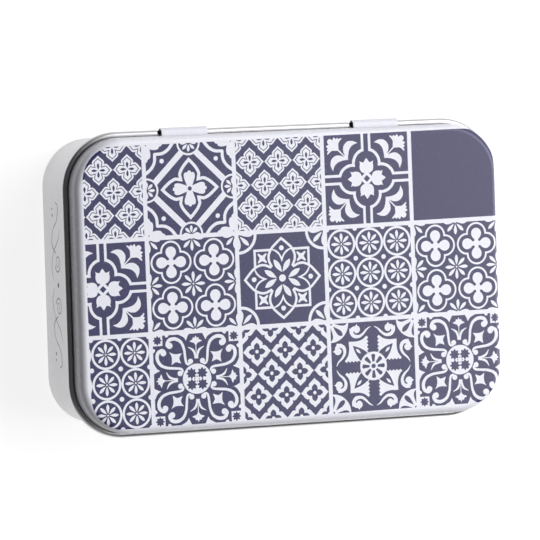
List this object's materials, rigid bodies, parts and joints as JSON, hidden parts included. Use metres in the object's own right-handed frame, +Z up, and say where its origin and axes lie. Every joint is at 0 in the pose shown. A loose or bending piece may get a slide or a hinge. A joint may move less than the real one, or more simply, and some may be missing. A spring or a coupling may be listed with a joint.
{
  "type": "hinged tin box",
  "caption": "Shallow rounded-rectangle tinplate box with a rolled bead round its mouth and a printed lid that hinges on two tabs rolled round the bead.",
  "frame": {"origin": "centre of the underside, on the plane that the tin stands on", "axes": "+Z up, X along the long side, hinge at the back (+Y), front at -Y"},
  "size_m": [0.1468, 0.097, 0.038],
  "materials": {
    "tinplate": "satin bare tinplate with a clear lacquer",
    "printed_tinplate": "white enamelled tinplate with a dark blue printed tile pattern under clear varnish"
  },
  "bodies": {
    "base": {"base": "tinplate"},
    "lid": {"lid": "printed_tinplate"}
  },
  "joints": [
    {"name": "lid_hinge", "type": "hinge", "parent": "base", "child": "lid", "pos_m": [0, 0.04705, 0.029], "axis": [-1, 0, 0], "range_deg": [0, 110]}
  ]
}
